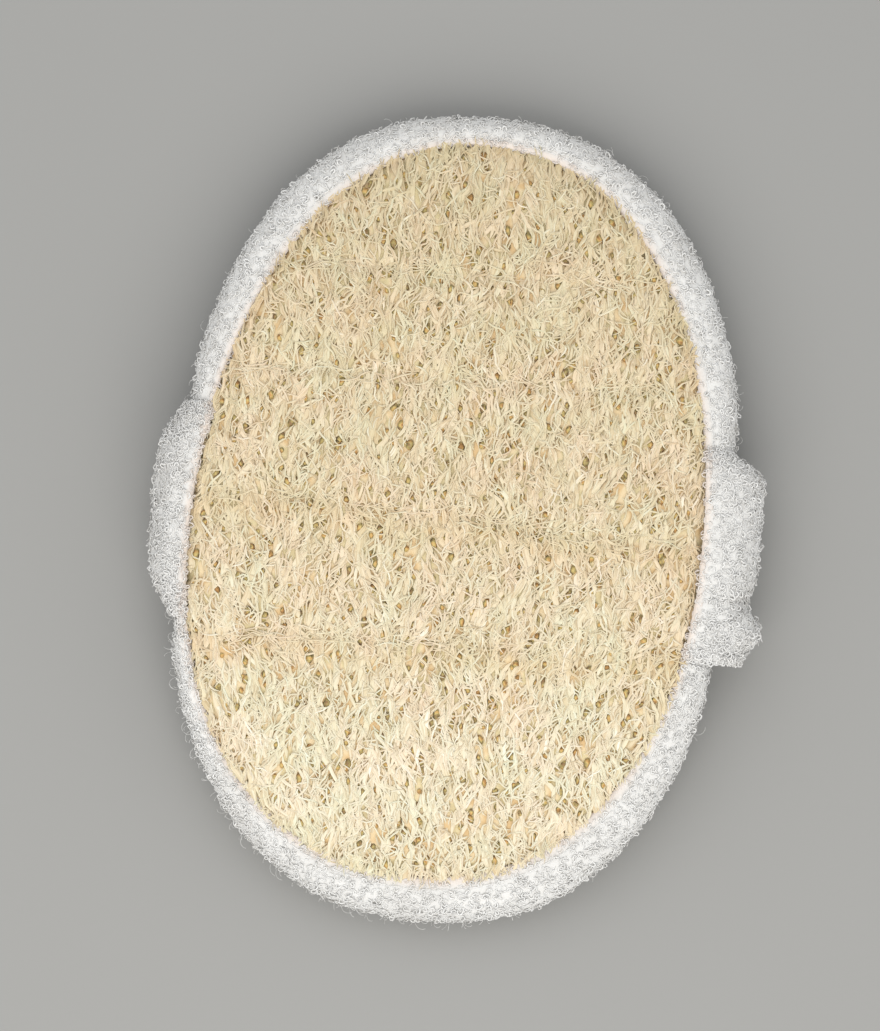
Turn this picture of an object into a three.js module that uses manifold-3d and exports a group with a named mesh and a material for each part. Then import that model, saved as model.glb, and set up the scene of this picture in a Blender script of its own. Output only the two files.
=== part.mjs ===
// Oval loofah body pad with a terry edge binding, a terry back and a terry hand strap.
// Millimetres, +Z up. The pad lies with its loofah face up and its strap underneath.
// +Y runs along the pad's long axis and X runs across it, along the strap.
import * as THREE from "three";
import { mergeVertices } from "three/addons/utils/BufferGeometryUtils.js";
import Module from "manifold-3d";

// Outer outline of the binding, a superellipse.
const PAD_HALF_WIDTH = 57.7;
const PAD_HALF_LENGTH = 83.1;
const PAD_ROUNDNESS = 2.3;

// Inner edge of the binding on the face, where it is sewn down. It sits a little askew.
const SEAM_HALF_WIDTH = 51.9;
const SEAM_HALF_LENGTH = 75.1;
const SEAM_ROUNDNESS = 2.15;
const SEAM_TAPER = -0.06; // the oval is this share narrower at its +Y end
const SEAM_TURN = THREE.MathUtils.degToRad(2.5);
const SEAM_CENTRE = [-1.25, 1.47];

// The whole pad bows down towards its ends, over the strap.
const MIDDLE_HEIGHT = 18; // of the joint between loofah and backing, at the centre
const SAG_ALONG = 12.4;
const SAG_ACROSS = 1.5;

// Thicknesses, measured from the joint between loofah and backing.
const FIT_GAP = 0.3;
const JOINT_GAP = 0.15;
const FLANGE_TOP = 3.45; // the loofah pressed flat under the binding
const LOOFAH_CROWN = 4.3; // the loofah's rise above its pressed edge
const SHOULDER_REACH = 7; // high where only the last of the way to the seam is pressed down
const SHOULDER_STEEPNESS = 0.55;
const BACK_THICKNESS = 2.5;
const BINDING_TOP = 6.3;
const BINDING_BOTTOM = -5.2;
const BINDING_WALL = 3.4; // the binding's folded outer edge, at most
const BINDING_LIP = 0.9; // how far its sewn edges are rounded over
const BINDING_STATIONS = 72;
const SHEET_SEGMENTS = 72;

// The loofah's raised fibre net.
const STRAND_PITCH = 2.8;
const ROW_PITCH = 2.4;
const STRAND_RIDGE = 0.55;
const STRAND_UNEVENNESS = 0.3;
const STRAND_SWAY = 0.62;
const SWAY_LENGTHS = [11, 19];
const STRAND_DRIFT = 0.5;
const DRIFT_LENGTH = 47;
const CELL_DEPTH = 1.15;
const CELL_OPENNESS = [0.25, 1.4]; // least and most, where strands pinch together and part
const BRIDGE_SHARE = 0.3; // of the cells closed by a cross fibre
const BRIDGE_RISE = 0.25;
const PRESS_WAVE_LENGTH = 26;
const PRESS_WAVE_HEIGHT = 0.35;
const PRESS_WAVE_SLANT = 0.06;
const PRESS_WAVE_START = 3;
const NET_ROOT = 1.05; // how far the net's underside is sunk into the pressed loofah
const NET_SEED = 41;

// The hand strap, a folded band sewn over the binding at both sides.
const STRAP_WIDTH = 42.5;
const STRAP_CENTRE_Y = -2.75;
const STRAP_THICKNESS = 2.4;
const STRAP_END_THICKNESS = 1.7;
const STRAP_FLAT_HALF = 38; // half of the stretch that lies flat on the surface
const STRAP_SWEEP = 14; // how far past that its turn up to the edge reaches
const STRAP_EDGE_ROUND = 1.2;
const STRAP_EDGE_FULLNESS = 0.35;
const STRAP_PINCH = 0.8; // how far the sewn strap draws the binding's edge in
const STRAP_SEAM_INSET = 0.5;
const STRAP_WIDEST = -1.5; // the height where the strap stands out furthest
const STRAP_STEPS = 9;
const STRAP_COLUMNS = 10;

// How far the strap stands out past the binding: bulge along its width, and bumps and
// dips at places along Y, each with its reach.
const STRAP_TOP_EDGE = STRAP_CENTRE_Y + STRAP_WIDTH / 2;
const STRAP_LOW_EDGE = STRAP_CENTRE_Y - STRAP_WIDTH / 2;
const RIGHT_BULGE = {
  standing: 5.6,
  bumps: [
    { height: -2.6, place: STRAP_TOP_EDGE, reach: 5 },
    { height: -0.9, place: -12, reach: 3 },
    { height: 2.6, place: -18, reach: 3.4 },
  ],
};
const LEFT_BULGE = {
  standing: 4.5,
  bumps: [
    { height: -2.2, place: STRAP_TOP_EDGE, reach: 7 },
    { height: -2.3, place: STRAP_LOW_EDGE, reach: 6 },
  ],
};

const TERRY_WHITE = "#e9e6e0";
const LOOFAH_STRAW = "#e3cfa4";

const wasm = await Module();
wasm.setup();

// A seeded random number from 0 to 1.
function seededRandom(seed) {
  let state = seed;
  return () => {
    state = (state + 0x6d2b79f5) | 0;
    let mixed = Math.imul(state ^ (state >>> 15), 1 | state);
    mixed = (mixed + Math.imul(mixed ^ (mixed >>> 7), 61 | mixed)) ^ mixed;
    return ((mixed ^ (mixed >>> 14)) >>> 0) / 4294967296;
  };
}

// How far the pad has bowed down at a place.
function sag(x, y) {
  return SAG_ALONG * (y / PAD_HALF_LENGTH) ** 2 + SAG_ACROSS * (x / PAD_HALF_WIDTH) ** 2;
}

// A point of the bowed pad, from its height over the joint between loofah and backing.
function padPoint(x, y, height) {
  return new THREE.Vector3(x, y, MIDDLE_HEIGHT + height - sag(x, y));
}

function superellipse(angle, halfWidth, halfLength, roundness) {
  const power = 2 / roundness;
  const [c, s] = [Math.cos(angle), Math.sin(angle)];
  return [
    halfWidth * Math.sign(c) * Math.abs(c) ** power,
    halfLength * Math.sign(s) * Math.abs(s) ** power,
  ];
}

// How far the outer outline is drawn in under the strap, at a given Y.
function strapPinch(y) {
  const beyond = Math.abs(y - STRAP_CENTRE_Y) - STRAP_WIDTH / 2;
  return STRAP_PINCH * (1 - THREE.MathUtils.smoothstep(beyond, 3, 10));
}

function outerPoint(angle) {
  const [x, y] = superellipse(angle, PAD_HALF_WIDTH, PAD_HALF_LENGTH, PAD_ROUNDNESS);
  return new THREE.Vector2(x - Math.sign(x) * strapPinch(y), y);
}

function seamPoint(angle) {
  const [u, v] = superellipse(angle, SEAM_HALF_WIDTH, SEAM_HALF_LENGTH, SEAM_ROUNDNESS);
  const across = u * (1 + (SEAM_TAPER * v) / SEAM_HALF_LENGTH);
  const [c, s] = [Math.cos(SEAM_TURN), Math.sin(SEAM_TURN)];
  return new THREE.Vector2(SEAM_CENTRE[0] + c * across + s * v, SEAM_CENTRE[1] - s * across + c * v);
}

// 0 at the seam oval's centre and 1 on the seam.
function seamShare(x, y) {
  const [c, s] = [Math.cos(SEAM_TURN), Math.sin(SEAM_TURN)];
  const [dx, dy] = [x - SEAM_CENTRE[0], y - SEAM_CENTRE[1]];
  const v = s * dx + c * dy;
  const u = (c * dx - s * dy) / (1 + (SEAM_TAPER * v) / SEAM_HALF_LENGTH);
  const sum =
    Math.abs(u / SEAM_HALF_WIDTH) ** SEAM_ROUNDNESS +
    Math.abs(v / SEAM_HALF_LENGTH) ** SEAM_ROUNDNESS;
  return sum ** (1 / SEAM_ROUNDNESS);
}

// The thickness of the binding's folded edge, which thins where the binding is narrow.
function bindingWall(width) {
  return Math.min(BINDING_WALL, 0.5 * width);
}

// The edge of the sheets inside the binding.
function sheetEdgePoint(angle) {
  const outer = outerPoint(angle);
  const seam = seamPoint(angle);
  const inset = bindingWall(outer.distanceTo(seam)) + FIT_GAP;
  return outer.addScaledVector(seam.sub(outer).normalize(), inset);
}

// The outer outline's X on one side, at a given Y.
function outerX(side, y) {
  const share = 1 - Math.abs(y / PAD_HALF_LENGTH) ** PAD_ROUNDNESS;
  return side * PAD_HALF_WIDTH * share ** (1 / PAD_ROUNDNESS);
}

// The seam's X on one side, at a given Y, found by halving.
function seamX(side, y) {
  let [inside, outside] = [0, side * PAD_HALF_WIDTH];
  for (let step = 0; step < 40; step += 1) {
    const middle = (inside + outside) / 2;
    if (seamShare(middle, y) < 1) inside = middle;
    else outside = middle;
  }
  return inside;
}

function geometryOf(points, triangles) {
  const geometry = new THREE.BufferGeometry();
  const flat = points.flatMap((p) => [p.x, p.y, p.z]);
  geometry.setAttribute("position", new THREE.Float32BufferAttribute(flat, 3));
  geometry.setIndex(triangles);
  return geometry;
}

function solidOf(geometry) {
  const bare = geometry.clone();
  bare.deleteAttribute("normal");
  bare.deleteAttribute("uv");
  const merged = mergeVertices(bare, 1e-4);
  return new wasm.Manifold(
    new wasm.Mesh({
      numProp: 3,
      vertProperties: merged.attributes.position.array,
      triVerts: new Uint32Array(merged.index.array),
    }),
  );
}

function geometryFromSolid(solid) {
  const mesh = solid.getMesh();
  const geometry = new THREE.BufferGeometry();
  geometry.setAttribute("position", new THREE.BufferAttribute(mesh.vertProperties, 3));
  geometry.setIndex(new THREE.BufferAttribute(mesh.triVerts, 1));
  return geometry;
}

// A skin over rings of equal count. Closed joins the last ring to the first. Otherwise
// each end ring, whose second half runs back along its first, is closed by a strip.
function skinRings(rings, closed) {
  const count = rings[0].length;
  const triangles = [];
  const spans = closed ? rings.length : rings.length - 1;
  for (let i = 0; i < spans; i += 1) {
    const [a, b] = [i * count, ((i + 1) % rings.length) * count];
    for (let j = 0; j < count; j += 1) {
      const k = (j + 1) % count;
      triangles.push(a + j, b + j, b + k, a + j, b + k, a + k);
    }
  }
  if (!closed) {
    const last = (rings.length - 1) * count;
    for (let j = 0; j < count / 2 - 1; j += 1) {
      const back = count - 1 - j;
      triangles.push(j, j + 1, back - 1, j, back - 1, back);
      triangles.push(last + j, last + back - 1, last + j + 1, last + j, last + back, last + back - 1);
    }
  }
  return geometryOf(rings.flat(), triangles);
}

// A bowed oval plate between two heights, reaching into the binding.
function ovalPlate(lowHeight, highHeight, steps) {
  const segments = SHEET_SEGMENTS;
  const points = [padPoint(0, 0, highHeight), padPoint(0, 0, lowHeight)];
  const triangles = [];
  for (const height of [highHeight, lowHeight]) {
    for (let ring = 1; ring <= steps; ring += 1) {
      for (let i = 0; i < segments; i += 1) {
        const p = sheetEdgePoint((i / segments) * 2 * Math.PI).multiplyScalar(ring / steps);
        points.push(padPoint(p.x, p.y, height));
      }
    }
  }
  const top = (ring, i) => 2 + (ring - 1) * segments + (i % segments);
  const low = (ring, i) => top(ring, i) + steps * segments;
  for (let i = 0; i < segments; i += 1) {
    triangles.push(0, top(1, i), top(1, i + 1), 1, low(1, i + 1), low(1, i));
    for (let ring = 1; ring < steps; ring += 1) {
      const [a, b, c, d] = [top(ring, i), top(ring + 1, i), top(ring + 1, i + 1), top(ring, i + 1)];
      triangles.push(a, b, c, a, c, d);
      const [e, f, g, h] = [low(ring, i), low(ring, i + 1), low(ring + 1, i + 1), low(ring + 1, i)];
      triangles.push(e, f, g, e, g, h);
    }
    const [a, b, c, d] = [top(steps, i), low(steps, i), low(steps, i + 1), top(steps, i + 1)];
    triangles.push(a, b, c, a, c, d);
  }
  return geometryOf(points, triangles);
}

// The loofah's smooth height: pressed down at the seam, full in the middle, and faintly
// waved along its length where it was pressed flat.
function crownHeight(x, y) {
  const share = Math.min(seamShare(x, y), 1);
  const shoulder = (1 - share ** SHOULDER_REACH) ** SHOULDER_STEEPNESS;
  const along = y - PRESS_WAVE_START + PRESS_WAVE_SLANT * x;
  const wave = Math.cos((2 * Math.PI * along) / PRESS_WAVE_LENGTH);
  return FLANGE_TOP + shoulder * (LOOFAH_CROWN + PRESS_WAVE_HEIGHT * wave);
}

// The fibre net, as a slab. Its mesh lines follow the strands: even columns are ridges
// that sway, pinch together and part, odd columns are the cells between them, and
// cross fibres bridge some of the cells.
function fibreNetSlab() {
  const random = seededRandom(NET_SEED);
  const halfX = SEAM_HALF_WIDTH + 3;
  const halfY = SEAM_HALF_LENGTH + 5;
  const strands = Math.ceil((2 * halfX) / STRAND_PITCH);
  const columns = 2 * strands + 1;
  const rows = Math.ceil((2 * halfY) / ROW_PITCH) + 1;
  const sways = Array.from({ length: strands + 1 }, () => ({
    phase: 2 * Math.PI * random(),
    driftPhase: 0.6 * Math.PI * random(),
    length: THREE.MathUtils.lerp(...SWAY_LENGTHS, random()),
  }));
  const strandX = (strand, y) => {
    const sway = sways[strand];
    const lean = strand % 2 === 0 ? 1 : -1;
    const pinch = Math.sin((2 * Math.PI * y) / sway.length + sway.phase);
    const drift = Math.sin((2 * Math.PI * y) / DRIFT_LENGTH + sway.driftPhase);
    return -halfX + strand * STRAND_PITCH + STRAND_SWAY * lean * pinch + STRAND_DRIFT * drift;
  };
  const points = [];
  for (let row = 0; row < rows; row += 1) {
    const y = -halfY + row * ROW_PITCH;
    for (let column = 0; column < columns; column += 1) {
      const left = strandX(Math.floor(column / 2), y);
      if (column % 2 === 0) {
        const lift = STRAND_UNEVENNESS * (random() - 0.5);
        points.push(padPoint(left, y, crownHeight(left, y) + STRAND_RIDGE + lift));
        continue;
      }
      const right = strandX((column + 1) / 2, y);
      const x = (left + right) / 2;
      const openness = THREE.MathUtils.clamp((right - left) / STRAND_PITCH, ...CELL_OPENNESS);
      const bridged = random() < BRIDGE_SHARE;
      const depth = bridged ? -BRIDGE_RISE : CELL_DEPTH * openness;
      points.push(padPoint(x, y, crownHeight(x, y) + STRAND_RIDGE - depth));
    }
  }
  const triangles = [];
  const at = (row, column) => row * columns + column;
  for (let row = 0; row < rows - 1; row += 1) {
    for (let column = 0; column < columns - 1; column += 1) {
      const [a, b] = [at(row, column), at(row, column + 1)];
      const [c, d] = [at(row + 1, column + 1), at(row + 1, column)];
      triangles.push(...((row + column) % 2 === 0 ? [a, b, c, a, c, d] : [a, b, d, b, c, d]));
    }
  }
  // The underside is one strip of full-width quads, hidden inside the pressed flange.
  const underside = FLANGE_TOP - NET_ROOT;
  const under = (row, side) => rows * columns + 2 * row + side;
  for (let row = 0; row < rows; row += 1) {
    for (const column of [0, columns - 1]) {
      const p = points[at(row, column)];
      points.push(padPoint(p.x, p.y, underside));
    }
  }
  for (let row = 0; row < rows - 1; row += 1) {
    const [a, b, c, d] = [under(row, 0), under(row, 1), under(row + 1, 1), under(row + 1, 0)];
    triangles.push(a, c, b, a, d, c);
    triangles.push(at(row, 0), at(row + 1, 0), d, at(row, 0), d, a);
    const last = columns - 1;
    triangles.push(at(row, last), b, c, at(row, last), c, at(row + 1, last));
  }
  const end = rows - 1;
  for (let column = 0; column < columns - 1; column += 1) {
    triangles.push(under(0, 0), at(0, column + 1), at(0, column));
    triangles.push(under(end, 0), at(end, column), at(end, column + 1));
  }
  triangles.push(under(0, 0), under(0, 1), at(0, columns - 1));
  triangles.push(under(end, 0), at(end, columns - 1), under(end, 1));
  return geometryOf(points, triangles);
}

// An upright oval prism just inside the seam, to cut the net to its outline.
function seamPrism() {
  const segments = 96;
  const shape = new THREE.Shape(
    Array.from({ length: segments }, (_, i) => {
      const p = seamPoint((i / segments) * 2 * Math.PI);
      const middle = new THREE.Vector2(...SEAM_CENTRE);
      const inward = middle.sub(p).normalize();
      return p.addScaledVector(inward, 2 * FIT_GAP);
    }),
  );
  const height = 4 * MIDDLE_HEIGHT;
  const prism = new THREE.ExtrudeGeometry(shape, { depth: height, bevelEnabled: false });
  return prism.translate(0, 0, -height / 2 + MIDDLE_HEIGHT);
}

function loofahFace() {
  const net = solidOf(fibreNetSlab()).intersect(solidOf(seamPrism()));
  const flange = solidOf(ovalPlate(JOINT_GAP, FLANGE_TOP, 4));
  return geometryFromSolid(flange.add(net));
}

function terryBack() {
  return ovalPlate(-JOINT_GAP - BACK_THICKNESS, -JOINT_GAP, 4);
}

// The binding's section at one place round the pad: pairs of the distance out from the
// seam and the height. It is a folded strip, open towards the pad's middle.
function bindingSection(width) {
  const channelTop = FLANGE_TOP + FIT_GAP;
  const channelLow = -JOINT_GAP - BACK_THICKNESS - FIT_GAP;
  const lip = BINDING_LIP;
  const roundStart = 0.35 * width;
  const middle = (BINDING_TOP + BINDING_BOTTOM) / 2;
  const halfHeight = (BINDING_TOP - BINDING_BOTTOM) / 2;
  const section = [
    [width - bindingWall(width), channelTop],
    [0, channelTop],
    [0.2 * lip, BINDING_TOP - 1.2 * lip],
    [lip, BINDING_TOP - 0.3 * lip],
  ];
  const turns = 9;
  for (let i = 0; i <= turns; i += 1) {
    const turned = Math.PI * (0.5 - i / turns);
    const [out, up] = superellipse(turned, width - roundStart, halfHeight, PAD_ROUNDNESS);
    section.push([roundStart + out, middle + up]);
  }
  section.push([lip, BINDING_BOTTOM + 0.3 * lip], [0.2 * lip, BINDING_BOTTOM + lip]);
  section.push([0, channelLow], [width - bindingWall(width), channelLow]);
  return section;
}

function edgeBinding() {
  const rings = [];
  for (let i = 0; i < BINDING_STATIONS; i += 1) {
    const angle = (-i / BINDING_STATIONS) * 2 * Math.PI;
    const seam = seamPoint(angle);
    const outer = outerPoint(angle);
    const width = outer.distanceTo(seam);
    const outward = outer.sub(seam).normalize();
    rings.push(
      bindingSection(width).map(([out, height]) => {
        const p = seam.clone().addScaledVector(outward, out);
        return padPoint(p.x, p.y, height);
      }),
    );
  }
  return skinRings(rings, true);
}

// A bump of height 1 at a place along the strap's width.
function bump(y, place, reach) {
  return Math.exp(-(((y - place) / reach) ** 2));
}

// How far the strap's outer surface stands out past the binding on one side.
function strapBulge(side, y) {
  const bulge = side > 0 ? RIGHT_BULGE : LEFT_BULGE;
  return bulge.bumps.reduce(
    (sum, { height, place, reach }) => sum + height * bump(y, place, reach),
    bulge.standing,
  );
}

// The strap's middle line on one side at one Y, with its thickness: over the binding,
// where it follows the pad's bow, then round the edge and in under the pad.
function strapLine(side, y) {
  const [seam, outer] = [seamX(side, y), outerX(side, y)];
  const bulge = outer + side * (strapBulge(side, y) - STRAP_THICKNESS / 2);
  const over = new THREE.CubicBezierCurve(
    new THREE.Vector2(seam + side * STRAP_SEAM_INSET, BINDING_TOP + 0.5 * STRAP_THICKNESS),
    new THREE.Vector2(THREE.MathUtils.lerp(seam, outer, 0.7), BINDING_TOP + 1.1 * STRAP_THICKNESS),
    new THREE.Vector2(bulge, 0.9 * BINDING_TOP),
    new THREE.Vector2(bulge, STRAP_WIDEST),
  );
  const ground = STRAP_THICKNESS / 2;
  const under = new THREE.CubicBezierCurve(
    new THREE.Vector2(bulge, MIDDLE_HEIGHT + STRAP_WIDEST - sag(bulge, y)),
    new THREE.Vector2(bulge, 0.45 * MIDDLE_HEIGHT),
    new THREE.Vector2(side * (STRAP_FLAT_HALF + STRAP_SWEEP), ground),
    new THREE.Vector2(side * STRAP_FLAT_HALF, ground),
  );
  const line = [];
  const quarterTurn = (side * Math.PI) / 2;
  const middle = new THREE.Vector2();
  for (let i = 0; i < STRAP_STEPS; i += 1) {
    const share = i / STRAP_STEPS;
    const p = over.getPoint(share);
    const normal = over.getTangent(share).rotateAround(middle, quarterTurn);
    const thickness = THREE.MathUtils.lerp(STRAP_END_THICKNESS, STRAP_THICKNESS, share);
    line.push({ x: p.x, z: MIDDLE_HEIGHT + p.y - sag(p.x, y), normal, thickness });
  }
  for (let i = 0; i <= STRAP_STEPS; i += 1) {
    const share = i / STRAP_STEPS;
    const p = under.getPoint(share);
    const normal = under.getTangent(share).rotateAround(middle, quarterTurn);
    line.push({ x: p.x, z: p.y, normal, thickness: STRAP_THICKNESS });
  }
  return line;
}

function handStrap() {
  const half = STRAP_WIDTH / 2;
  const round = STRAP_EDGE_ROUND;
  const offsets = [-half, -half + 0.3 * round, -half + round];
  for (let i = 1; i < STRAP_COLUMNS; i += 1) {
    offsets.push(-half + round + (i / STRAP_COLUMNS) * (STRAP_WIDTH - 2 * round));
  }
  offsets.push(half - round, half - 0.3 * round, half);
  const columns = offsets.map((offset) => {
    const y = STRAP_CENTRE_Y + offset;
    const fromEdge = Math.min(half - Math.abs(offset), round);
    const rounded = Math.sqrt(1 - (1 - fromEdge / round) ** 2);
    const fullness = Math.max(rounded, STRAP_EDGE_FULLNESS);
    const line = [...strapLine(1, y), ...strapLine(-1, y).reverse()];
    return line.map((place) => {
      const reach = (place.thickness / 2) * fullness;
      const out = new THREE.Vector2(place.normal.x, place.normal.y).multiplyScalar(reach);
      return {
        outside: new THREE.Vector3(place.x + out.x, y, place.z + out.y),
        inside: new THREE.Vector3(place.x - out.x, y, place.z - out.y),
      };
    });
  });
  // Each ring is one section across the strap's width.
  const rings = columns[0].map((_, i) => [
    ...columns.map((column) => column[i].outside),
    ...columns.map((column) => column[i].inside).reverse(),
  ]);
  return skinRings(rings, false);
}

function material(color, roughness) {
  return new THREE.MeshStandardMaterial({ color, roughness, metalness: 0 });
}

function addPiece(group, name, geometry, finish) {
  const mesh = new THREE.Mesh(geometry, finish);
  mesh.name = name;
  group.add(mesh);
}

const pad = new THREE.Group();
const terry = material(TERRY_WHITE, 0.95);
addPiece(pad, "loofah_face", loofahFace(), material(LOOFAH_STRAW, 0.8));
addPiece(pad, "terry_back", terryBack(), terry);
addPiece(pad, "edge_binding", edgeBinding(), terry);
addPiece(pad, "hand_strap", handStrap(), terry);

// The origin is the middle of the footprint, on the surface that the pad lies on.
const bounds = new THREE.Box3().setFromObject(pad);
const footprint = bounds.getCenter(new THREE.Vector3());
pad.position.set(-footprint.x, -footprint.y, -bounds.min.z);

export default pad;
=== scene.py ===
"""Dresses the oval loofah body pad: loofah fibres, looped terry cloth, sewing and lint.

Lengths are in millimetres while a shape is worked out and in metres in the meshes.
"""

import math

import bpy
import numpy as np
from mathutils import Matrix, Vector


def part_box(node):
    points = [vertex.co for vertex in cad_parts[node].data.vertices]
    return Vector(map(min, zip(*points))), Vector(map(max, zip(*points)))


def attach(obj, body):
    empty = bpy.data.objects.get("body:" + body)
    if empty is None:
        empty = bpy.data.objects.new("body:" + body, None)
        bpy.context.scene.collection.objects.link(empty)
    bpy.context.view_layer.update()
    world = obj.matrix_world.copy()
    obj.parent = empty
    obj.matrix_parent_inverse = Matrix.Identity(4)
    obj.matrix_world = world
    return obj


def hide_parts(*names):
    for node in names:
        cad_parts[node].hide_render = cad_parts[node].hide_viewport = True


MM = 0.001

# The pad's two outlines, as in the CAD part: the binding's outer edge and the sewn seam
# on the face.
PAD_HALF_WIDTH = 57.7
PAD_HALF_LENGTH = 83.1
PAD_ROUNDNESS = 2.3
SEAM_HALF_WIDTH = 51.9
SEAM_HALF_LENGTH = 75.1
SEAM_ROUNDNESS = 2.15
SEAM_TAPER = -0.06
SEAM_TURN = math.radians(2.5)
SEAM_CENTRE = np.array([-1.25, 1.47])

# How the pad bows down over the strap, and heights over the joint of loofah and backing.
MIDDLE_HEIGHT = 18
SAG_ALONG = 12.4
SAG_ACROSS = 1.5
JOINT_GAP = 0.15
FLANGE_TOP = 3.45
LOOFAH_CROWN = 4.3
SHOULDER_REACH = 7
SHOULDER_STEEPNESS = 0.55
SHOULDER_AT_SEAM = 0.35
BACK_THICKNESS = 2.5
BINDING_TOP = 6.3
BINDING_BOTTOM = -5.2
BINDING_WALL = 3.4
SEWN_CLEARANCE = 0.3  # between the binding's wall and the layers sewn into it

# The hand strap.
STRAP_WIDTH = 42.5
STRAP_CENTRE_Y = -2.75
STRAP_THICKNESS = 2.4
STRAP_END_THICKNESS = 1.7
STRAP_FLAT_HALF = 38
STRAP_SWEEP = 14
STRAP_PINCH = 0.8
STRAP_SEAM_INSET = 0.1
STRAP_SINK = 0.8
STRAP_WIDEST = -1.5

# Creases across the loofah, where it was folded flat: each one's Y and its slant.
CREASES = [(50, 0.02), (28.6, 0.03), (0.5, -0.03), (-25, 0.04)]
CREASE_DEPTH = 0.5
CREASE_WIDTH = 1.5
CREASE_WAVER = 0.8
SHADED_CREASES = CREASES[2:]  # which have a band of painted shade, more golden, beside them
SHADED_BAND_OFFSET = -3
SHADED_BAND_WIDTH = 3.5

# The loofah's net: how deep its body lies under the fibres on its face, how far it is
# drawn down at the seam, and the gaps between the fibres.
NET_DEPTH = 0.55
FULL_SHADE_DEPTH = 0.8  # at which fibres would take the full painted shade, wholly golden
SEAM_TUCK = 0.5
TUCKED_REACH = 1.03  # of the fibres under the binding, as a share of the way to the seam
GAP_PITCH_ACROSS = 2.6
GAP_PITCH_ALONG = 3.3
GAP_NARROWEST = 0.14
GAP_WIDEST = 0.52
GAP_DEPTH = 0.26
CELL_CORNERS = 8  # of the rim of each dark cell under a gap
CELL_MARGIN = 0.3  # by which a cell runs in under the fibres round its gap

# The terry cloth.
PILE_HEIGHT = 0.45  # of the loops over their ground cloth
FACE_PITCH = 0.89  # of the loops that the photograph shows
HIDDEN_PITCH = 2.0  # of the loops that the pad rests on
GROUND_THICKNESS = 0.9
LIP_HEIGHT = 1.3  # of the binding's sewn edge over the loofah's flange
LIP_SHARE = 0.42  # of the binding's width, over which it rises from its sewn edge
SEWN_INSET = 1.7  # of the stitching from the binding's edge
SEWN_DEPTH = 0.4
SEWN_WIDTH = 0.7
STITCH_PITCH = 3.2
STITCH_LENGTH = 2.7
THREAD_WIDTH = 0.35
LINT_WIDTH = 0.07

# Where the cream tone beside the loofah, which is painted light bounced from it, and the pile
# that is sewn down flat, start to fade and end, as shares of the way to the seam.
LOOFAH_BOUNCE_REACH = (1, 1.035)
PRESSED_REACH = (1.015, 1.07)

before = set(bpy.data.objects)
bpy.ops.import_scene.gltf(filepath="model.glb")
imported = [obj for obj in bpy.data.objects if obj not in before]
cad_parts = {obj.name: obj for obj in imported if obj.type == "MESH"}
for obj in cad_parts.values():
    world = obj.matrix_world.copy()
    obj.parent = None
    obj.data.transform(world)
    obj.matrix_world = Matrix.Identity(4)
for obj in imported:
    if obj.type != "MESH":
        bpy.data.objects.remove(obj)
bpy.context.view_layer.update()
binding_low, binding_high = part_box("edge_binding")
PAD_CENTRE = np.array((binding_low + binding_high) / 2)[:2] / MM


# Shapes


def unit(vectors):
    return vectors / np.maximum(np.linalg.norm(vectors, axis=-1, keepdims=True), 1e-9)


def bell(away, reach):
    """1 at no distance away, and less over a reach on both sides."""
    return np.exp(-((away / reach) ** 2))


def step_lengths(points, axis=0):
    return np.linalg.norm(np.diff(points, axis=axis), axis=-1)


def turned(x, y, angle):
    """Places turned anticlockwise about the origin."""
    c, s = np.cos(angle), np.sin(angle)
    return c * x - s * y, s * x + c * y


def superellipse(angle, half_width, half_length, roundness):
    c, s = np.cos(angle), np.sin(angle)
    x = half_width * np.sign(c) * np.abs(c) ** (2 / roundness)
    y = half_length * np.sign(s) * np.abs(s) ** (2 / roundness)
    return np.stack([x, y], -1)


def smoothstep(value, low, high):
    share = np.clip((value - low) / (high - low), 0, 1)
    return share * share * (3 - 2 * share)


def outer_point(angle):
    """The binding's outer edge, drawn in a little under the strap."""
    p = superellipse(angle, PAD_HALF_WIDTH, PAD_HALF_LENGTH, PAD_ROUNDNESS)
    beyond = np.abs(p[..., 1] - STRAP_CENTRE_Y) - STRAP_WIDTH / 2
    p[..., 0] -= np.sign(p[..., 0]) * STRAP_PINCH * (1 - smoothstep(beyond, 3, 10))
    return p


def even_angles(count):
    """Angles that space points evenly round the pad's outer edge."""
    fine = np.linspace(0, 2 * np.pi, 4001)
    run = np.concatenate([[0], np.cumsum(step_lengths(outer_point(fine)))])
    return np.interp(np.arange(count) / count * run[-1], run, fine)


def seam_point(angle):
    """The sewn edge of the binding on the loofah face."""
    p = superellipse(angle, SEAM_HALF_WIDTH, SEAM_HALF_LENGTH, SEAM_ROUNDNESS)
    u = p[..., 0] * (1 + SEAM_TAPER * p[..., 1] / SEAM_HALF_LENGTH)
    return SEAM_CENTRE + np.stack(turned(u, p[..., 1], -SEAM_TURN), -1)


def sewn_in_edge(angle):
    """The edge of the loofah and of the backing, which ends inside the binding."""
    seam, outer = seam_point(angle), outer_point(angle)
    width = np.linalg.norm(outer - seam, axis=-1)
    inset = np.minimum(BINDING_WALL, width / 2) + SEWN_CLEARANCE
    return outer + unit(seam - outer) * inset[:, None]


def seam_share(x, y):
    """0 at the middle of the face and 1 at the seam."""
    u, v = turned(x - SEAM_CENTRE[0], y - SEAM_CENTRE[1], SEAM_TURN)
    u = u / (1 + SEAM_TAPER * v / SEAM_HALF_LENGTH)
    powers = np.abs(u / SEAM_HALF_WIDTH) ** SEAM_ROUNDNESS
    powers = powers + np.abs(v / SEAM_HALF_LENGTH) ** SEAM_ROUNDNESS
    return powers ** (1 / SEAM_ROUNDNESS)


def sag(x, y):
    return SAG_ALONG * (y / PAD_HALF_LENGTH) ** 2 + SAG_ACROSS * (x / PAD_HALF_WIDTH) ** 2


def pad_place(x, y, height):
    """A place on the bowed pad, in mm, from its height over the joint."""
    z = MIDDLE_HEIGHT + height - sag(x, y)
    return np.stack([x + 0 * z, y + 0 * z, z], -1)


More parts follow.
